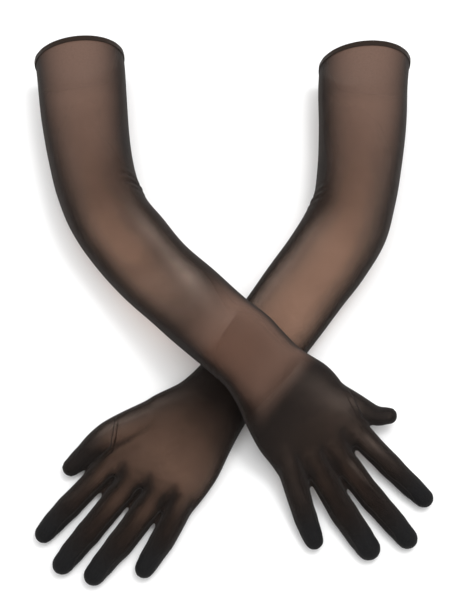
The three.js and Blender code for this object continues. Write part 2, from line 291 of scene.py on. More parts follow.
class Soup:
    """Points in millimetres in the sections' frame, and faces over them."""

    def __init__(self):
        self.points, self.faces = [], []

    def add_tube(self, rings, joined=False):
        """A tube through rings of points, closed at its ends or joined into a loop."""
        first, sides = len(self.points), len(rings[0])
        self.points.extend(point for ring in rings for point in ring)
        starts = [first + i * sides for i in range(len(rings))]
        for low, high in zip(starts, starts[1:] + (starts[:1] if joined else [])):
            for i in range(sides):
                j = (i + 1) % sides
                self.faces.append((low + i, low + j, high + j, high + i))
        if not joined:
            self.faces.append(tuple(reversed(range(first, first + sides))))
            self.faces.append(tuple(range(starts[-1], starts[-1] + sides)))

    def mesh(self, name):
        mesh = bpy.data.meshes.new(name)
        points = (np.array(self.points) + ROW_SHIFT) * MM
        mesh.from_pydata([tuple(p) for p in points], [], self.faces)
        return mesh


# ------------------------------------------------------------------------- one glove's geometry
class Glove:
    """The shape of one glove, and the questions that its pieces ask of points on it."""

    def __init__(self, sizes):
        self.side = sizes["side"]
        self.body = self.side + "_glove"
        self.heading = plan(sizes["heading"])[:2]
        self.sections = sizes["sections"]
        self.fingers = list(sizes["fingers"])
        low = sizes["tip_height"]
        line = [(self.heading @ np.array(s[:2]), s[2]) for s in self.sections]
        tips = [self.heading @ np.array(path[-1]) for path, _ in sizes["fingers"].values()]
        line = [(line[0][0] - FAR, line[0][1])] + line
        line += [(min(tips) - TIP_APPROACH, low + TIP_RISE), (max(tips) + TIP_APPROACH, low)]
        line.append((max(tips) + FAR, low))
        self.line = np.array(line)
        self.rows = smooth_rows(self.sections, 2.0)
        self.reach = reach_along(self.rows[:, :2])
        self.bones = {
            name: self.bone(path, radii)
            for name, (path, radii) in {**sizes["fingers"], "thumb": sizes["thumb"]}.items()
        }
        at, normal = sizes["thumb_seam"]
        self.thumb_at = np.array(at, float)
        self.thumb_normal = np.array(normal, float) / np.linalg.norm(normal)
        self.webs = [self.web(a, b) for a, b in zip(self.fingers, self.fingers[1:])]

    def seam_height(self, points):
        return np.interp(points[:, :2] @ self.heading, self.line[:, 0], self.line[:, 1])

    def bone(self, path, radii):
        """Centre and radius along a finger, ending one radius short of its tip."""
        flat = np.array([(x, y, 0.0) for x, y in path])
        flat[:, 2] = self.seam_height(flat)
        inward = flat[-2] - flat[-1]
        flat[-1] += inward / np.linalg.norm(inward) * radii[-1]
        ends = [2 * flat[0] - flat[1], *flat, 2 * flat[-1] - flat[-2]]
        rows = []
        for i in range(len(flat) - 1):
            a, b, c, d = ends[i:i + 4]
            for t in np.linspace(0, 1, 14, endpoint=False):
                point = 0.5 * (
                    2 * b + (c - a) * t + (2 * a - 5 * b + 4 * c - d) * t**2
                    + (3 * b - a - 3 * c + d) * t**3
                )
                rows.append((*point, radii[i] + (radii[i + 1] - radii[i]) * t))
        rows.append((*flat[-1], radii[-1]))
        return np.array(rows)

    def web(self, first, second):
        """Where two neighbouring fingers part: the point between them, and its place along them."""
        one, two = self.bones[first], self.bones[second]
        apart = np.linalg.norm(one[:, :3] - two[:, :3], axis=1) > one[:, 3] + two[:, 3] - 1
        middles = (one[:, :3] + two[:, :3]) / 2
        last = np.array(self.sections[-1])
        past_palm = (middles[:, :2] - last[:2]) @ plan(last[5] - 90)[:2] > 0
        place = int(np.argmax(apart & past_palm))
        return middles[place], place

    def hem_row(self, distance):
        """The section at a distance from the hem's edge, within the first two sections."""
        first, second = np.array(self.sections[:2], float)
        return first + (second - first) * distance / np.linalg.norm(second[:2] - first[:2])

    def on_arm(self, points):
        """Distance from the hem along the arm, and bearing round it, of each point."""
        along, bearing = np.empty(len(points)), np.empty(len(points))
        centres = self.rows[:, :2]
        tangents = unit_rows(np.gradient(centres, axis=0))
        across = np.array([plan(turn)[:2] for turn in self.rows[:, 5]])
        for start in range(0, len(points), 4000):
            part = points[start:start + 4000]
            away = part[:, None, :2] - centres[None]
            near = np.argmin((away**2).sum(axis=2), axis=1)
            away = away[np.arange(len(part)), near]
            rows = self.rows[near]
            along[start:start + 4000] = self.reach[near] + (away * tangents[near]).sum(axis=1)
            out = (away * across[near]).sum(axis=1) / rows[:, 3]
            bearing[start:start + 4000] = np.arctan2((part[:, 2] - rows[:, 2]) / rows[:, 4], out)
        return along, bearing

    def on_finger(self, name, points):
        """Gap from a finger's surface, distance from its tip, and bearing round it."""
        bone = self.bones[name]
        away = points[:, None, :] - bone[None, :, :3]
        squares = (away**2).sum(axis=2)
        near = np.argmin(squares, axis=1)
        rows = np.arange(len(points))
        gap = np.sqrt(squares[rows, near]) - bone[near, 3]
        tangents = unit_rows(np.gradient(bone[:, :3], axis=0))
        reach = reach_along(bone[:, :3])
        away = away[rows, near]
        along = reach[near] + (away * tangents[near]).sum(axis=1)
        from_tip = reach[-1] + bone[-1, 3] - along
        across = np.cross((0.0, 0.0, 1.0), tangents[near])
        out = (away * across).sum(axis=1)
        bearing = np.arctan2(away[:, 2], out)
        return gap, from_tip, bearing, along

    def digits(self, points):
        """For each point, the finger or thumb that it is nearest, and its place on that one."""
        names = [*self.fingers, "thumb"]
        found = [self.on_finger(name, points) for name in names]
        gaps = np.array([f[0] for f in found])
        nearest = np.argmin(gaps, axis=0)
        pick = lambda i: np.array([f[i] for f in found])[nearest, np.arange(len(points))]
        return nearest, pick(0), pick(1), pick(2), pick(3)

    # Fields: each is positive on one side of a seam line -------------------------------------
    def back_field(self, points):
        return points[:, 2] - self.seam_height(points)

    def thumb_field(self, points):
        gap = self.on_finger("thumb", points)[0]
        from_index = self.on_finger("index", points)[0] - gap
        past = (points[:, :2] - self.thumb_at) @ self.thumb_normal
        return np.minimum(np.minimum(past, from_index), 4.0 - gap)

    def fourchette_field(self, points):
        nearest, gap, from_tip, bearing, _ = self.digits(points)
        last = len(self.fingers) - 1
        # Bearing 0 points to a finger's left, seen from its root, so to the far side from the
        # next finger on one hand and towards it on the other.
        toward_next = np.cos(bearing) * self.next_sign() > 0
        lone = ((nearest == 0) & ~toward_next) | ((nearest == last) & toward_next)
        lone |= nearest > last
        width = FOURCHETTE * ease(5.0, 5.0 + FOURCHETTE_TAPER, from_tip)
        width = np.where(lone | (gap > 6.0), 0.0, width)
        off = np.abs(self.back_field(points))
        return np.where(width > 0.35, width - off, -9.0)

    def next_sign(self):
        one, two = self.bones[self.fingers[0]], self.bones[self.fingers[1]]
        tangent = one[-1, :3] - one[-2, :3]
        across = np.cross((0.0, 0.0, 1.0), tangent)
        return np.sign(across @ (two[-1, :3] - one[-1, :3]))


# --------------------------------------------------------------------------- the whole surface
def finger_rings(bone, joints):
    """Rings along a finger, a little fuller at its joints, closed by a round tip."""
    rings = []
    count = len(bone)
    tangents = np.gradient(bone[:, :3], axis=0)
    for i in range(count):
        share = i / (count - 1)
        swell = sum(size * math.exp(-(((share - at) / 0.07) ** 2)) for at, size in joints)
        rings.append(round_ring(bone[i, :3], tangents[i], bone[i, 3] + swell, FINGER_SIDES))
    radius = bone[-1, 3]
    outward = tangents[-1] / np.linalg.norm(tangents[-1])
    for turn in np.radians([15, 30, 45, 58, 70, 80]):
        centre = bone[-1, :3] + outward * radius * math.sin(turn)
        rings.append(round_ring(centre, tangents[-1], radius * math.cos(turn), FINGER_SIDES))
    return rings


def neighbour_mean(points, edges, degree):
    mean = np.empty_like(points)
    for axis in range(3):
        mean[:, axis] = np.bincount(edges[:, 0], points[edges[:, 1], axis], len(points))
        mean[:, axis] += np.bincount(edges[:, 1], points[edges[:, 0], axis], len(points))
    return mean / degree[:, None]


def relax(points, edges, rounds, weight):
    """Moves each point towards its neighbours' middle, by its weight."""
    degree = np.bincount(edges.ravel(), minlength=len(points)).astype(float)
    degree = np.maximum(degree, 1)
    weight = np.broadcast_to(np.asarray(weight, float), len(points))[:, None]
    for _ in range(rounds):
        points = points + weight * (neighbour_mean(points, edges, degree) - points)
    return points


def relief(glove, points):
    """How far the cloth stands out of its plain surface: creases, knuckles and soft unevenness."""
    along, bearing = glove.on_arm(points)
    lift = np.zeros(len(points))
    for at, toward, drift, reach, wave, height, half in CREASES[glove.side]:
        off = (bearing - math.radians(toward) + np.pi) % (2 * np.pi) - np.pi
        place = along - at - drift * off
        window = np.exp(-((place / half) ** 2) - (off / math.radians(reach)) ** 2)
        lift += height * window * np.cos(2 * np.pi * place / wave + 0.8 * np.sin(3 * off))
    _, gap, from_tip, bearing, _ = glove.digits(points)
    on_top = ease(0.2, 0.8, np.sin(bearing))
    bend = np.exp(-(((from_tip - 24) / 3.0) ** 2)) + np.exp(-(((from_tip - 46) / 3.5) ** 2))
    ripple = np.cos(2 * np.pi * from_tip / 2.6) * bend * (gap < 2.0)
    lift += 0.12 * ripple * (0.4 + 0.6 * on_top)
    for name in glove.fingers:
        root = glove.bones[name][6, :3]
        away = np.linalg.norm(points[:, :2] - root[:2], axis=1)
        lift += 1.0 * np.exp(-((away / 7.5) ** 2)) * ease(2.0, 6.0, points[:, 2] - root[2])
    above = ease(0.0, 5.0, glove.back_field(points))
    lift -= 1.3 * np.exp(-((web_distance(glove, points) / 3.6) ** 2)) * above
    x, y, z = points.T
    lift += 0.10 * np.sin(x / 9.0 + 1.3 * np.sin(y / 14.0)) * np.sin(y / 11.0 + z / 8.0)
    return lift


def floor_level(glove, points):
    """The welt is thicker than the cloth, so the sleeve stands a little off the floor there."""
    along, _ = glove.on_arm(points)
    return HEM_PROUD * (1 - ease(*HEM_SLOPE, along))


def coordinates(mesh):
    found = np.empty(len(mesh.vertices) * 3)
    mesh.vertices.foreach_get("co", found)
    return found.reshape(-1, 3) / MM - ROW_SHIFT


def set_coordinates(mesh, points):
    mesh.vertices.foreach_set("co", ((points + ROW_SHIFT) * MM).ravel())
    mesh.update()


def whole_surface(glove):
    """The outer surface of one glove as one even mesh, closed beyond its hem."""
    soup = Soup()
    rows = np.vstack([glove.hem_row(-MOUTH), glove.rows])
    soup.add_tube([section_ring(row, 0, HEM_PROUD * (1 - ease(*HEM_SLOPE, reach)), ARM_SIDES)
                   for row, reach in zip(rows, [0.0, *glove.reach])])
    for name, bone in glove.bones.items():
        soup.add_tube(finger_rings(bone, KNUCKLES if name != "thumb" else []))
    hull = place_object("hull", soup.mesh("hull"))
    remesh = hull.modifiers.new("even", "REMESH")
    remesh.mode = "VOXEL"
    remesh.voxel_size = VOXEL * MM
    graph = bpy.context.evaluated_depsgraph_get()
    even = bpy.data.meshes.new_from_object(hull.evaluated_get(graph))
    bpy.data.objects.remove(hull)

    points = coordinates(even)
    edges = np.empty(len(even.edges) * 2, np.int32)
    even.edges.foreach_get("vertices", edges)
    edges = edges.reshape(-1, 2)
    for _ in range(5):
        points = relax(points, edges, 1, 0.55)
        points = relax(points, edges, 1, -0.57)
    roots = [web for web, _ in glove.webs] + [glove.bones["thumb"][16, :3]]
    spreads = [FILLED_WEBS] * len(glove.webs) + [FILLED_CROTCH]
    near = sum(
        np.exp(-((np.linalg.norm(points[:, :2] - root[:2], axis=1) / spread) ** 2))
        for root, spread in zip(roots, spreads)
    )
    points = relax(points, edges, 10, 0.5 * clamp01(near))
    set_coordinates(even, points)
    normals = np.empty(len(even.vertices) * 3)
    even.vertices.foreach_get("normal", normals)
    points = points + normals.reshape(-1, 3) * relief(glove, points)[:, None]
    points[:, 2] = np.maximum(points[:, 2], floor_level(glove, points))
    set_coordinates(even, points)
    return even


# ------------------------------------------------------------------------- cutting along seams
def cut_field(bm, layer, values):
    """Adds edges to the surface where a value held at its points passes through nothing."""
    for vert, value in zip(bm.verts, values):
        vert[layer] = 0.0 if abs(value) < SNAP else float(value)
    crossing = [
        edge for edge in bm.edges if edge.verts[0][layer] * edge.verts[1][layer] < 0
        and abs(edge.verts[0][layer] - edge.verts[1][layer]) < 8.0
    ]
    for edge in crossing:
        start, end = edge.verts
        share = start[layer] / (start[layer] - end[layer])
        _, middle = bmesh.utils.edge_split(edge, start, share)
        middle[layer] = 0.0
    on_line = [vert for vert in bm.verts if vert[layer] == 0.0]
    bmesh.ops.connect_verts(bm, verts=on_line, check_degenerate=False)


def points_of(bm):
    return np.array([vert.co for vert in bm.verts]) / MM - ROW_SHIFT


def cut_surface(glove, mesh):
    """The surface as a bmesh with a piece name for every face."""
    bm = bmesh.new()
    bm.from_mesh(mesh)
    edge = glove.hem_row(TUCK_FROM)
    forward = plan(edge[5] - 90)
    edge_point = (np.array((edge[0], edge[1], 0.0)) + ROW_SHIFT) * MM
    bmesh.ops.bisect_plane(
        bm, geom=[*bm.verts, *bm.edges, *bm.faces], plane_co=Vector(edge_point),
        plane_no=Vector(forward), clear_inner=True,
    )
    layers = {name: bm.verts.layers.float.new(name) for name in ("strip", "thumb", "back")}
    cut_field(bm, layers["strip"], glove.fourchette_field(points_of(bm)))
    cut_field(bm, layers["thumb"], glove.thumb_field(points_of(bm)))
    back = glove.back_field(points_of(bm))
    inside = [max(v[layers["strip"]], v[layers["thumb"]]) > 0 for v in bm.verts]
    back = np.where(inside, np.where(back < 0, -9.0, 9.0), back)
    cut_field(bm, layers["back"], back)

    pairs = [f"{a}_{b}_fourchette" for a, b in zip(glove.fingers, glove.fingers[1:])]
    middles = np.array([f.calc_center_median() for f in bm.faces]) / MM - ROW_SHIFT
    nearest, _, _, bearing, _ = glove.digits(middles)
    toward_next = np.cos(bearing) * glove.next_sign() > 0
    names = []
    for face, digit, toward in zip(bm.faces, nearest, toward_next):
        total = {name: sum(v[layer] for v in face.verts) for name, layer in layers.items()}
        if total["strip"] > 0:
            names.append(pairs[min(len(pairs) - 1, max(0, digit if toward else digit - 1))])
        elif total["thumb"] > 0:
            names.append("thumb")
        else:
            names.append("back_panel" if total["back"] > 0 else "palm_panel")
    return bm, names


def absorb_islands(bm, names):
    """Gives small patches, left where seam lines meet at a slant, to the piece around them."""
    bm.faces.ensure_lookup_table()
    bm.faces.index_update()
    seen = [False] * len(names)
    for start in bm.faces:
        if seen[start.index]:
            continue
        name, patch, around = names[start.index], [start], {}
        seen[start.index] = True
        for face in patch:
            for edge in face.edges:
                for other in edge.link_faces:
                    if names[other.index] != name:
                        around[names[other.index]] = around.get(names[other.index], 0) + 1
                    elif not seen[other.index]:
                        seen[other.index] = True
                        patch.append(other)
        if len(patch) < LEAST_PATCH and around:
            for face in patch:
                names[face.index] = max(around, key=around.get)


def knit_places(glove, points, faces, middles):
    """Each face corner's place in the knit, in millimetres: courses along the arm or finger and
    wales round it, the same number of wales all the way."""
    along, bearing = glove.on_arm(points)
    _, _, from_tip, turn, _ = glove.digits(points)
    face_digit, gap, _, _, face_reach = glove.digits(middles)
    web_reach = [0.0] * 5
    for i, (_, place) in enumerate(glove.webs):
        for k in (i, i + 1):
            bone = glove.bones[glove.fingers[k]][: place + 1, :3]
            web_reach[k] = max(web_reach[k], reach_along(bone)[-1])
    web_reach[4] = 24.0
    places = []
    for k, face in enumerate(faces):
        on_digit = gap[k] < 2.0 and face_reach[k] > web_reach[face_digit[k]]
        angles = turn if on_digit else bearing
        lengths = from_tip if on_digit else along
        radius = DIGIT_ROUND if on_digit else ARM_ROUND
        first = angles[face[0]]
        for i in face:
            angle = angles[i]
            if angle - first > np.pi:
                angle -= 2 * np.pi
            elif first - angle > np.pi:
                angle += 2 * np.pi
            places.extend((angle * radius, lengths[i]))
    return places


def mouth_profile(glove, points, table):
    """A table's value towards the sleeve's mouth, over its upper side."""
    along, _ = glove.on_arm(points)
    height = points[:, 2]
    return np.interp(along / np.maximum(height, 1.0), *zip(*table)) * ease(*MOUTH_HEIGHTS, height)


def cover_and_shade_at(glove, points):
    """How close-knit the mesh looks, from 0 where the sleeve is stretched widest to 1 at the
    fingertips, where it is hardly stretched. Painted shade is added into it: a painted shadow at
    the left wrist under the crossing arm, shade along the right forearm, inside the elbows, in the
    webs and beside the crossing."""
    along, _ = glove.on_arm(points)
    nearest, gap, from_tip, _, _ = glove.digits(points)
    cover_and_shade = np.interp(along, *zip(*SLEEVE_COVER_AND_SHADE[glove.side]))
    # painted shade in the webs between the fingers
    cover_and_shade += WEB_SHADE * np.exp(-((web_distance(glove, points) / WEB_SHADE_SIZE) ** 2))
    finger = sum(share * (1 - ease(near, far, from_tip)) for share, near, far in FINGER_COVER)
    thumb = THUMB_COVER[glove.side] * (1 - ease(*THUMB_OPENS, from_tip))
    finger = np.where(nearest == len(glove.fingers), thumb, finger)
    cover_and_shade = cover_and_shade + (1 - cover_and_shade) * finger * (1 - ease(2.0, 6.0, gap))
    cover_and_shade = np.maximum(cover_and_shade, mouth_profile(glove, points, MOUTH_COVER))
    # painted shade inside the elbow
    elbow_shade = np.linalg.norm(points[:, :2] - ELBOW_SHADE_AT[glove.side], axis=1)
    cover_and_shade += ELBOW_SHADE * np.exp(-((elbow_shade / ELBOW_SHADE_SIZE) ** 2))
    # painted shade on the right glove just beside the arm that it crosses
    if glove.side == "right":
        beside = np.abs(crossing_offset(points))
        cover_and_shade += BESIDE_CROSSING_SHADE * ease(26.0, 36.0, beside) * (1 - ease(36.0, 84.0, beside))
    return np.minimum(cover_and_shade, 1.0)


def crossing_offset(points):
    """Distance in plan from the middle of the crossed arm, negative towards the right hand."""
    start, end = CROSSED_ARM
    along = (end - start) / np.linalg.norm(end - start)
    away = points[:, :2] - start
    return away[:, 0] * along[1] - away[:, 1] * along[0]


def painted_light_at(glove, points):
    """How much brown painted light lies on the yarn: over the mouth, and where the right glove
    crosses the left, where the layered net would show darker; both stay off the sleeve's sides.
    """
    mouth = mouth_profile(glove, points, MOUTH_PAINTED_LIGHT)
    if glove.side == "left":
        return mouth
    off = crossing_offset(points)
    # painted light over the crossing, on the sleeve's upper and lower faces and not its sides
    crossing = 1 - np.where(off > 0, ease(*BROWN_TO_ARM, off), ease(*BROWN_TO_HAND, -off))
    _, bearing = glove.on_arm(points)
    return np.maximum(mouth, crossing * ease(0.4, 0.95, np.abs(np.sin(bearing))))


def web_distance(glove, points):
    """Distance in plan from the lines that run back from the webs between the fingers."""
    back = -glove.heading
    nearest = np.full(len(points), 99.0)
    for web, _ in glove.webs:
        away = points[:, :2] - web[:2]
        reach = np.clip(away @ back, -4.0, 10.0)
        gap = np.linalg.norm(away - reach[:, None] * back, axis=1) + 0.12 * np.maximum(reach, 0)
        nearest = np.minimum(nearest, gap)
    return nearest


def piece_mesh(glove, name, bm, names):
    """One piece of cloth as a mesh, from the faces that carry its name."""
    faces = [face for face in bm.faces if names[face.index] == name]
    index, order, lists = {}, [], []
    for face in faces:
        row = []
        for vert in face.verts:
            if vert.index not in index:
                index[vert.index] = len(order)
                order.append(vert.co.copy())
            row.append(index[vert.index])
        lists.append(row)
    mesh = bpy.data.meshes.new(name)
    mesh.from_pydata(order, [], lists)
    mesh.polygons.foreach_set("use_smooth", [True] * len(lists))
    points = coordinates(mesh)
    middles = np.array([points[row].mean(axis=0) for row in lists])
    knit = mesh.uv_layers.new(name="knit")
    knit.data.foreach_set("uv", knit_places(glove, points, lists, middles))
    for title, values_at in (("cover_and_shade", cover_and_shade_at), ("painted_light", painted_light_at)):
        values = mesh.attributes.new(title, "FLOAT", "POINT")
        values.data.foreach_set("value", values_at(glove, points))
    mesh.update()
    return mesh


# ------------------------------------------------------------------------------- seams and hem
def seam_lines(bm, names, choose):
    """Unbroken lines of points along the edges where two chosen pieces meet."""
    links = {}
    for edge in bm.edges:
        if len(edge.link_faces) == 2:
            one, two = (names[face.index] for face in edge.link_faces)
            if one != two and choose(one, two):
                a, b = edge.verts[0].index, edge.verts[1].index
                links.setdefault(a, []).append(b)
                links.setdefault(b, []).append(a)
    bm.verts.ensure_lookup_table()
    used, lines = set(), []
    ends = sorted(v for v, others in links.items() if len(others) != 2)
    for start in [*ends, *sorted(links)]:
        for following in links[start]:
            if (start, following) in used:
                continue
            line, here, there = [start], start, following
            while True:
                used.update(((here, there), (there, here)))
                line.append(there)
                ahead = [v for v in links[there] if (there, v) not in used]
                if len(links[there]) != 2 or not ahead:
                    break
                here, there = there, ahead[0]
            lines.append(np.array([bm.verts[v].co for v in line]) / MM - ROW_SHIFT)
    return [line for line in lines if reach_along(line)[-1] > SHORTEST_SEAM]


def even_line(line, step):
    """The line smoothed, with points a fixed step apart."""
    line = line.copy()
    for _ in range(8):
        line[1:-1] += 0.5 * ((line[:-2] + line[2:]) / 2 - line[1:-1])
    reach = reach_along(line)
    count = max(4, round(reach[-1] / step))
    places = np.linspace(0, reach[-1], count + 1)
    return np.stack([np.interp(places, reach, line[:, axis]) for axis in range(3)], axis=1)


def add_stitched_ridge(soup, line, radius):
    """A sewn ridge along a line, pinched between its stitches."""
    points = even_line(line, STITCH_PITCH / 4)
    tangents = np.gradient(points, axis=0)
    rings = []
    for i, (point, tangent) in enumerate(zip(points, tangents)):
        pinch = 0.80 + 0.20 * math.cos(math.pi * i / 2)
        end = 0.35 if i in (0, len(points) - 1) else 1.0
        rings.append(round_ring(point, tangent, radius * pinch * end, 6))
    soup.add_tube(rings)


def side_of_seam(glove, line):
    """Which of a glove's seams a line between the back and the palm belongs to."""
    ends = line[[0, -1]]
    at_hem = glove.on_arm(ends)[0].min() < 20.0
    to_thumb = glove.on_finger("thumb", ends)[0].min() < 5.0
    if at_hem:
        return "inner_side_seam" if to_thumb else "outer_side_seam"
    return "index_side_seam" if to_thumb else "fourchette_stitching"


def hem_ring(glove, grow, distance, ripple):
    row = glove.hem_row(distance)
    ring = section_ring(row, grow, HEM_PROUD, HEM_SIDES)
    out = unit_rows(ring - row[:3])
    waves = np.sin(np.arange(HEM_SIDES) * 2 * np.pi * HEM_GATHERS / HEM_SIDES)
    ring = ring - out * (ripple * (1 + waves))[:, None]
    ring[:, 2] = np.maximum(ring[:, 2], HEM_PROUD - grow)
    return ring


def band_mesh(glove, name, profile):
    """A closed band round the sleeve's opening, from places out of the cloth and along it."""
    soup = Soup()
    rings = [hem_ring(glove, grow, distance, ripple) for grow, distance, ripple in profile]
    soup.add_tube(rings, joined=True)
    mesh = soup.mesh(name)
    outline = np.array(profile)[:, :2]
    across = reach_along(np.vstack([outline, outline[:1]]))
    knit = mesh.uv_layers.new(name="knit")
    for polygon in mesh.polygons:
        spots = [divmod(vertex, HEM_SIDES) for vertex in polygon.vertices]
        last_ring = max(ring for ring, _ in spots) - min(ring for ring, _ in spots) > 1
        last_side = max(side for _, side in spots) - min(side for _, side in spots) > 1
        for loop, (ring, side) in zip(polygon.loop_indices, spots):
            ring = len(profile) if last_ring and ring == 0 else ring
            side = HEM_SIDES if last_side and side == 0 else side
            knit.data[loop].uv = (side / HEM_SIDES * HEM_ROUND, across[ring])
    return mesh


def hem_stitches(glove, soup):
    """Two rows of short raised stitches round the welt."""
    for distance in STITCH_ROWS:
        ring = hem_ring(glove, HEM_PROUD, distance, 0.06)
        ring = np.vstack([ring, ring[:1]])
        line = even_line(ring, 0.65)
        for start in range(0, len(line) - 4, 4):
            part = line[start:start + 4]
            tangents = np.gradient(part, axis=0)
            sizes = (0.07, 0.17, 0.17, 0.07)
            soup.add_tube([round_ring(p, t, s, 6) for p, t, s in zip(part, tangents, sizes)])


# ----------------------------------------------------------------------------------- materials
WARM_TINT = (1.0, 0.935, 0.895, 1)  # of the light that a net lets through
SLANT_CLOSING = 3.4  # how fast the net closes as it is seen at a slant
DARK_YARN, LIGHT_YARN = (0.017, 0.012, 0.010, 1), (0.030, 0.021, 0.017, 1)
CLOSE_YARN_AND_SHADE = (0.009, 0.009, 0.0095, 1)  # where the knit is close, and under the painted shade
# brown of the painted light over the mouth and the crossing
PAINTED_LIGHT_BROWN = (0.21, 0.128, 0.097, 1)
FUZZ = (0.032, 0.026, 0.023, 1)
DARK_THREAD, LIGHT_THREAD = (0.006, 0.005, 0.005, 1), (0.03, 0.026, 0.023, 1)
DARK_FLOOR, PALE_FLOOR = (0.94, 0.94, 0.94, 1), (0.96, 0.96, 0.96, 1)


class Shader:
    """A material's nodes, made one line at a time."""

    def __init__(self, name):
        self.material = bpy.data.materials.new(name)
        self.material.use_nodes = True
        self.tree = self.material.node_tree
        self.tree.nodes.clear()

    def node(self, kind, **settings):
        node = self.tree.nodes.new("ShaderNode" + kind)
        for key, value in settings.items():
            setattr(node, key, value)
        return node

    def link(self, value, socket):
        if isinstance(value, (int, float, tuple)):
            socket.default_value = value
        else:
            self.tree.links.new(value, socket)

    def maths(self, operation, *values, clamp=False):
        node = self.node("Math", operation=operation, use_clamp=clamp)
        for value, socket in zip(values, node.inputs):
            self.link(value, socket)
        return node.outputs[0]

    def span(self, value, low, high, to_low=0.0, to_high=1.0):
        node = self.node("MapRange", interpolation_type="SMOOTHSTEP")
        for given, socket in zip((value, low, high, to_low, to_high), node.inputs):
            self.link(given, socket)
        return node.outputs[0]

    def noise(self, vector, scale, detail=2.0):
        node = self.node("TexNoise")
        self.link(vector, node.inputs["Vector"])
        node.inputs["Scale"].default_value = scale
        node.inputs["Detail"].default_value = detail
        return node.outputs["Fac"]

    def knit_places(self):
        """Place round the glove and along it, in millimetres."""
        places = self.node("SeparateXYZ")
        self.link(self.node("UVMap", uv_map="knit").outputs[0], places.inputs[0])
        return places.outputs[0], places.outputs[1]

    def blend(self, share, one, two):
        node = self.node("Mix", data_type="RGBA")
        self.link(share, node.inputs["Factor"])
        self.link(one, node.inputs[6])
        self.link(two, node.inputs[7])
        return node.outputs[2]

    def bump(self, height, distance, strength):
        node = self.node("Bump")
        self.link(height, node.inputs["Height"])
        node.inputs["Distance"].default_value = distance
        node.inputs["Strength"].default_value = strength
        return node.outputs["Normal"]

    def finish(self, surface):
        self.link(surface, self.node("OutputMaterial").inputs["Surface"])
        return self.material


def yarn_surface(shader, colour, roughness, normal, sheen):
    surface = shader.node("BsdfPrincipled")
    shader.link(colour, surface.inputs["Base Color"])
    shader.link(roughness, surface.inputs["Roughness"])
    shader.link(normal, surface.inputs["Normal"])
    surface.inputs["Specular IOR Level"].default_value = 0.08
    surface.inputs["Sheen Weight"].default_value = sheen
    surface.inputs["Sheen Roughness"].default_value = 0.45
    return surface.outputs[0]


def net_material(name, open_share, close_share, wale, course):
    """A sheer knitted net: light passes between its yarns, less of it at a slant and where the
    knit is close. The painted shade closes the net and darkens its yarn too, and the painted light
    turns its yarn brown."""
    shader = Shader(name)
    places = shader.knit_places()
    around = shader.maths("MULTIPLY", places[0], math.pi / wale)
    along = shader.maths("MULTIPLY", places[1], math.pi / course)
    crossed = []
    for operation in ("ADD", "SUBTRACT"):
        wave = shader.maths("SINE", shader.maths(operation, around, along))
        crossed.append(shader.maths("ABSOLUTE", wave))
    yarn = shader.span(shader.maths("MINIMUM", *crossed), 0.05, 0.55, 1.0, 0.0)

    spot = shader.node("TexCoord").outputs["Object"]
    patch = shader.noise(spot, 24.0, 3.0)
    fuzz = shader.noise(spot, 900.0, 2.0)
    cover_and_shade = shader.node("Attribute", attribute_name="cover_and_shade").outputs["Fac"]
    spread = shader.node("MapRange", clamp=False)
    for given, socket in zip((cover_and_shade, 0.0, 1.0, open_share, close_share), spread.inputs):
        shader.link(given, socket)
    share = spread.outputs[0]
    share = shader.maths("ADD", share, shader.span(patch, 0.3, 0.7, -0.012, 0.012))
    share = shader.maths("ADD", share, shader.span(yarn, 0.0, 1.0, 0.07, -0.11))
    share = shader.maths("MINIMUM", shader.maths("MAXIMUM", share, 0.001), 0.97)
    facing = shader.node("LayerWeight").outputs["Facing"]
    slant = shader.maths("MAXIMUM", shader.maths("SUBTRACT", 1.0, facing), 0.08)
    crowding = shader.maths("POWER", slant, -SLANT_CLOSING)
    passed = shader.maths("POWER", share, crowding)
    colour = shader.blend(yarn, DARK_YARN, LIGHT_YARN)
    # the yarn darkens where the knit is close and under the painted shade
    colour = shader.blend(cover_and_shade, colour, CLOSE_YARN_AND_SHADE)
    # brown painted light over the mouth and the crossing
    painted_light = shader.node("Attribute", attribute_name="painted_light").outputs["Fac"]
    colour = shader.blend(painted_light, colour, PAINTED_LIGHT_BROWN)
    colour = shader.blend(shader.span(fuzz, 0.4, 0.8, 0.0, 0.15), colour, FUZZ)
    roughness = shader.span(fuzz, 0.2, 0.8, 0.7, 0.9)
    surface = yarn_surface(shader, colour, roughness, shader.bump(yarn, 0.00012, 0.4), 0.03)
    clear = shader.node("BsdfTransparent")
    clear.inputs["Color"].default_value = WARM_TINT
    mixed = shader.node("MixShader")
    shader.link(passed, mixed.inputs[0])
    shader.link(surface, mixed.inputs[1])
    shader.link(clear.outputs[0], mixed.inputs[2])
    return shader.finish(mixed.outputs[0])


def rib_material(name, dark, light, rib, roughness, sheen):
    """A close knit with ribs across its length, seen as solid."""
    shader = Shader(name)
    places = shader.knit_places()
    wave, cross = (
        shader.maths("SINE", shader.maths("MULTIPLY", place, 2 * math.pi / rib)) for place in places
    )
    knit = shader.maths("MULTIPLY_ADD", wave, 0.35, 0.5)
    knit = shader.maths("MULTIPLY_ADD", cross, 0.15, knit)
    spot = shader.node("TexCoord").outputs["Object"]
    fuzz = shader.noise(spot, 1400.0, 2.0)
    colour = shader.blend(shader.span(knit, 0.1, 0.9), dark, light)
    colour = shader.blend(shader.span(fuzz, 0.4, 0.8, 0.0, 0.3), colour, light)
    normal = shader.bump(knit, 0.00018, 0.5)
    rough = shader.span(fuzz, 0.2, 0.8, roughness - 0.08, roughness + 0.08)
    return shader.finish(yarn_surface(shader, colour, rough, normal, sheen))


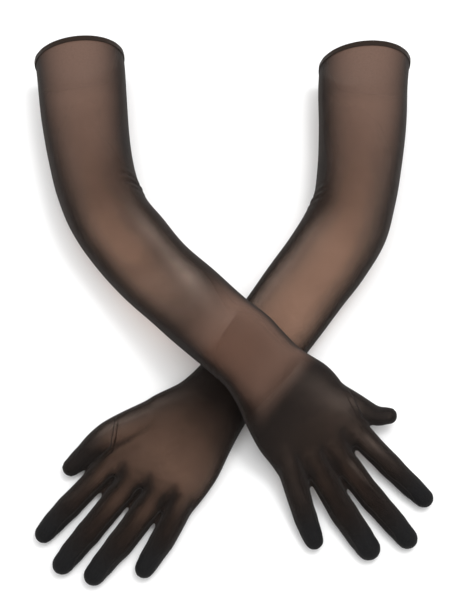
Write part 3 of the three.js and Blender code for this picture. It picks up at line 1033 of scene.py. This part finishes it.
def thread_material():
    """Fine twisted sewing thread."""
    shader = Shader("seam_thread")
    spot = shader.node("TexCoord").outputs["Object"]
    fibre = shader.noise(spot, 2600.0, 3.0)
    colour = shader.blend(shader.span(fibre, 0.3, 0.7), DARK_THREAD, LIGHT_THREAD)
    rough = shader.span(fibre, 0.2, 0.8, 0.45, 0.65)
    return shader.finish(yarn_surface(shader, colour, rough, shader.bump(fibre, 0.0001, 0.4), 0.1))


def floor_material():
    shader = Shader("pale_floor")
    spot = shader.node("TexCoord").outputs["Object"]
    grain = shader.noise(spot, 2.0, 2.0)
    surface = shader.node("BsdfPrincipled")
    colour = shader.blend(shader.span(grain, 0.2, 0.8), DARK_FLOOR, PALE_FLOOR)
    shader.link(colour, surface.inputs["Base Color"])
    surface.inputs["Roughness"].default_value = 0.95
    surface.inputs["Specular IOR Level"].default_value = 0.0
    return shader.finish(surface.outputs[0])


MATERIALS = {
    "sheer_mesh": net_material("sheer_mesh", 0.865, 0.02, 0.8, 0.8),
    "fourchette_mesh": net_material("fourchette_mesh", 0.78, 0.02, 0.8, 0.8),
    "hem_welt": rib_material(
        "hem_welt", (0.010, 0.006, 0.0045, 1), (0.034, 0.022, 0.016, 1), 0.9, 0.7, 0.1),
    "elastic": rib_material(
        "elastic", (0.008, 0.007, 0.007, 1), (0.03, 0.028, 0.026, 1), 0.7, 0.8, 0.05),
    "seam_thread": thread_material(),
}


# ---------------------------------------------------------------------------------- the pieces
# Flat sizes before sewing, width and length in metres, and the share of that rectangle that the
# cut fills. The mesh is worn stretched.
FLAT = {
    "back_panel": ((0.100, 0.530), 0.78),
    "palm_panel": ((0.100, 0.530), 0.77),
    "thumb": ((0.055, 0.058), 0.75),
    "index_middle_fourchette": ((0.015, 0.125), 0.80),
    "middle_ring_fourchette": ((0.015, 0.120), 0.80),
    "ring_little_fourchette": ((0.015, 0.120), 0.80),
    "hem_band": ((0.014, 0.220), 1.0),
}


def add_piece(glove, name, mesh, slot, node=None):
    suffix = "_cloth" if node else ""
    piece = place_object(f"{glove.side}_{name}{suffix}", mesh)
    mesh.materials.append(MATERIALS[slot])
    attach(piece, glove.body)
    if node:
        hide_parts(node)
    return piece


def thicken(piece):
    wall = piece.modifiers.new("cloth", "SOLIDIFY")
    wall.thickness = CLOTH * MM
    wall.offset = -1.0
    wall.use_rim = True


def make_glove(sizes):
    glove = Glove(sizes)
    bm, names = cut_surface(glove, whole_surface(glove))
    absorb_islands(bm, names)
    bm.verts.index_update()

    cloths = {}
    for name in FLAT:
        if name.startswith("hem"):
            continue
        slot = "fourchette_mesh" if "fourchette" in name else "sheer_mesh"
        mesh = piece_mesh(glove, name, bm, names)
        cloths[name] = add_piece(glove, name, mesh, slot, f"{glove.side}_{name}")
        thicken(cloths[name])

    panels = {"back_panel", "palm_panel"}
    soups = {"thumb_seam": Soup(), "outer_side_seam": Soup(), "inner_side_seam": Soup(),
             "index_side_seam": Soup(), "fourchette_stitching": Soup(), "hem_stitching": Soup()}
    for line in seam_lines(bm, names, lambda a, b: {a, b} == panels):
        add_stitched_ridge(soups[side_of_seam(glove, line)], line, SEAM_RADIUS)
    for line in seam_lines(bm, names, lambda a, b: "thumb" in (a, b)):
        add_stitched_ridge(soups["thumb_seam"], line, SEAM_RADIUS)
    for line in seam_lines(bm, names, lambda a, b: "fourchette" in a or "fourchette" in b):
        add_stitched_ridge(soups["fourchette_stitching"], line, SEAM_RADIUS * 0.8)
    bm.free()
    hem_stitches(glove, soups["hem_stitching"])
    for name, soup in soups.items():
        mesh = soup.mesh(name)
        mesh.polygons.foreach_set("use_smooth", [True] * len(mesh.polygons))
        node = f"{glove.side}_{name}" if name.endswith("seam") else None
        add_piece(glove, name, mesh, "seam_thread", node)

    welt = band_mesh(glove, "hem_band", WELT)
    cloths["hem_band"] = add_piece(glove, "hem_band", welt, "hem_welt", f"{glove.side}_hem_band")
    elastic = band_mesh(glove, "hem_elastic", ELASTIC)
    elastic = add_piece(glove, "hem_elastic", elastic, "elastic", f"{glove.side}_hem_elastic")


# Closed outlines of the welt and of the elastic inside it: place out of the cloth's face, place
# along the sleeve from the hem's edge, and how strongly the elastic's gathers show there.
WELT = [
    (0.92, 4.95, 0.05), (1.0, 4.4, 0.05), (1.0, 3.0, 0.09), (1.0, 1.5, 0.09), (0.85, 0.7, 0.07),
    (0.4, 0.15, 0.04), (-0.3, 0.0, 0.03), (-1.1, 0.15, 0.03), (-1.75, 0.7, 0.02),
    (-1.95, 1.5, 0.02), (-1.95, 4.4, 0.02), (-1.85, 4.95, 0.02), (-1.55, 5.0, 0.02),
    (-1.35, 4.6, 0.02), (-1.35, 1.4, 0.02), (-1.0, 0.8, 0.02), (-0.3, 0.65, 0.02),
    (0.2, 0.8, 0.02), (0.42, 1.4, 0.02), (0.42, 4.6, 0.02), (0.6, 5.0, 0.02),
]
ELASTIC = [
    (-0.05, 1.05, 0.02), (-0.05, 2.85, 0.02), (-0.95, 2.85, 0.02), (-0.95, 1.05, 0.02),
]

FLOOR = -0.0003  # just under the gloves, so that no face of theirs lies in its plane
floor_mesh = bpy.data.meshes.new("floor")
corners = [(-4, -4, FLOOR), (4, -4, FLOOR), (4, 4, FLOOR), (-4, 4, FLOOR)]
floor_mesh.from_pydata(corners, [], [(0, 1, 2, 3)])
floor = place_object("floor", floor_mesh)
floor_mesh.materials.append(floor_material())

make_glove(LEFT)
make_glove(RIGHT)


# ----------------------------------------------------------------------------- camera and light
def aim(thing, target):
    away = Vector(target) - thing.location
    thing.rotation_euler = away.to_track_quat("-Z", "Y").to_euler()


def add_area(name, place, target, size, power):
    lamp = bpy.data.lights.new(name, "AREA")
    lamp.shape = "DISK"
    lamp.size = size
    lamp.energy = power
    light = place_object(name, lamp)
    light.location = place
    aim(light, target)


TARGET = Vector((0.00111, 0.01193, 0.0))
DISTANCE = 1.12
elevation = math.radians(70)
camera = place_object("camera", bpy.data.cameras.new("camera"))
camera.data.lens = 80
camera.data.sensor_width = 36
camera.location = TARGET + DISTANCE * Vector((0, -math.cos(elevation), math.sin(elevation)))
aim(camera, TARGET)
bpy.context.scene.camera = camera

world = bpy.data.worlds.new("studio")
bpy.context.scene.world = world
world.use_nodes = True
world.node_tree.nodes["Background"].inputs["Color"].default_value = (1, 1, 1, 1)
world.node_tree.nodes["Background"].inputs["Strength"].default_value = 0.6
add_area("softbox", (0.2, 0.1, 2.3), (0, 0, 0), 2.6, 44)
add_area("key", (0.5, 0.3, 2.0), (0, 0, 0), 0.5, 8)
bpy.context.scene.view_settings.view_transform = "Standard"
